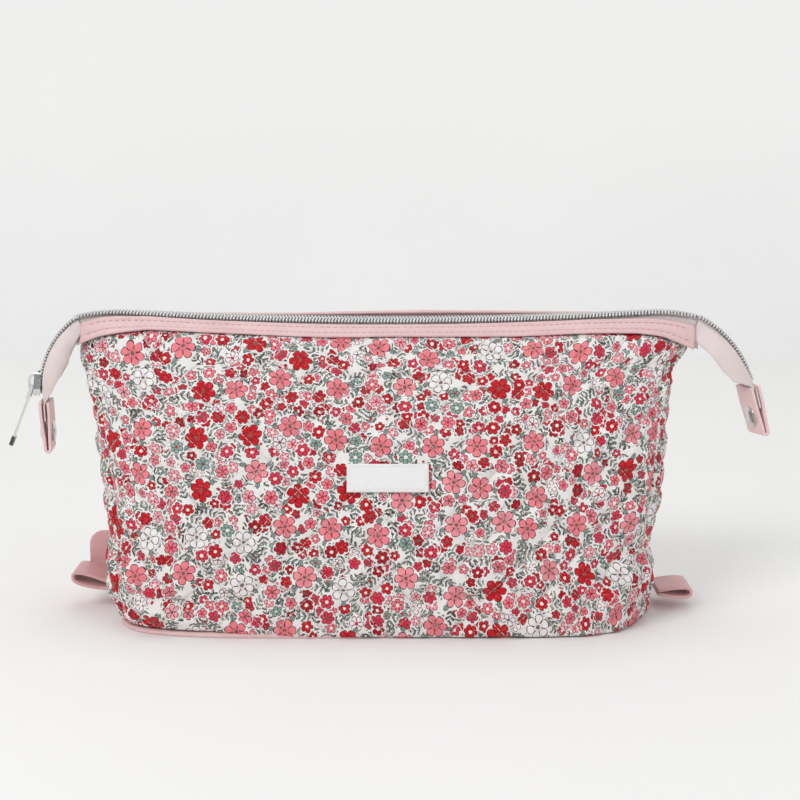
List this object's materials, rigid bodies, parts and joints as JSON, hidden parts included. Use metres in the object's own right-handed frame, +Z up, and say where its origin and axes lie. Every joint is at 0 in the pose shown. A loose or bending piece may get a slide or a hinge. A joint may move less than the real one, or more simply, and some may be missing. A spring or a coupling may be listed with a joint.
{
  "type": "makeup bag",
  "caption": "Quilted makeup bag with a boxed base, stiff leatherette mouth bands, a long coil zip whose ends droop into riveted tabs, and straps low on the ends.",
  "frame": {"origin": "middle of the underside of the base", "axes": "+X along the zip to the right seen from the labelled front, +Y from front to back, +Z up"},
  "size_m": [0.3657, 0.1196, 0.1423],
  "materials": {
    "quilt": "cotton printed with small flowers, quilted in diamonds over wadding",
    "lining": "plain woven lining",
    "leatherette": "smooth pale pink coated fabric with a soft sheen",
    "tape": "woven zip tape",
    "coil": "nylon coil with a silver metallised skin",
    "stay": "plain flexible strip",
    "metal": "silver plated, polished",
    "label": "soft white moulded label, bare"
  },
  "bodies": {
    "bag": {"base_panel": "leatherette", "left_end": "quilt", "right_end": "quilt", "floor_lining": "lining", "left_end_lining": "lining", "right_end_lining": "lining", "left_handle": "leatherette"},
    "front_wall": {"front_panel": "quilt", "front_lining": "lining", "front_band": "leatherette", "front_stay": "stay", "front_tape": "tape", "front_coil": "coil", "label": "label"},
    "back_wall": {"back_panel": "quilt", "back_lining": "lining", "back_band": "leatherette", "back_stay": "stay", "back_tape": "tape", "back_coil": "coil"},
    "left_wing": {"left_wing_tape": "tape", "left_wing_coil": "coil", "left_tab": "leatherette", "left_rivet_cap": "metal", "left_rivet_post": "metal"},
    "right_wing": {"right_wing_tape": "tape", "right_wing_coil": "coil", "right_tab": "leatherette", "right_rivet_cap": "metal", "right_rivet_post": "metal"},
    "slider": {"slider": "metal", "slider_bail": "metal"},
    "pull": {"pull": "metal"},
    "loop": {"right_loop": "leatherette"}
  },
  "joints": [
    {"name": "front_open", "type": "hinge", "parent": "bag", "child": "front_wall", "pos_m": [0, -0.056, 0.0027], "axis": [1, 0, 0], "range_deg": [0, 20]},
    {"name": "back_open", "type": "hinge", "parent": "bag", "child": "back_wall", "pos_m": [0, 0.056, 0.0027], "axis": [-1, 0, 0], "range_deg": [0, 20]},
    {"name": "left_wing_lift", "type": "hinge", "parent": "bag", "child": "left_wing", "pos_m": [-0.1478, 0, 0.14], "axis": [0, 1, 0], "range_deg": [0, 50]},
    {"name": "right_wing_lift", "type": "hinge", "parent": "bag", "child": "right_wing", "pos_m": [0.1478, 0, 0.14], "axis": [0, -1, 0], "range_deg": [0, 50]},
    {"name": "slider_run", "type": "hinge", "parent": "left_wing", "child": "slider", "pos_m": [-0.12311, 0, 0.10602], "axis": [0, 1, 0], "range_deg": [0, 40], "deforming": ["left_wing_coil"]},
    {"name": "pull_swing", "type": "hinge", "parent": "slider", "child": "pull", "pos_m": [-0.17051, 0, 0.10795], "axis": [0, 1, 0], "range_deg": [0, 110]},
    {"name": "loop_flap", "type": "hinge", "parent": "bag", "child": "loop", "pos_m": [0.13009, 0, 0.00855], "axis": [0, -1, 0], "range_deg": [0, 55]}
  ]
}
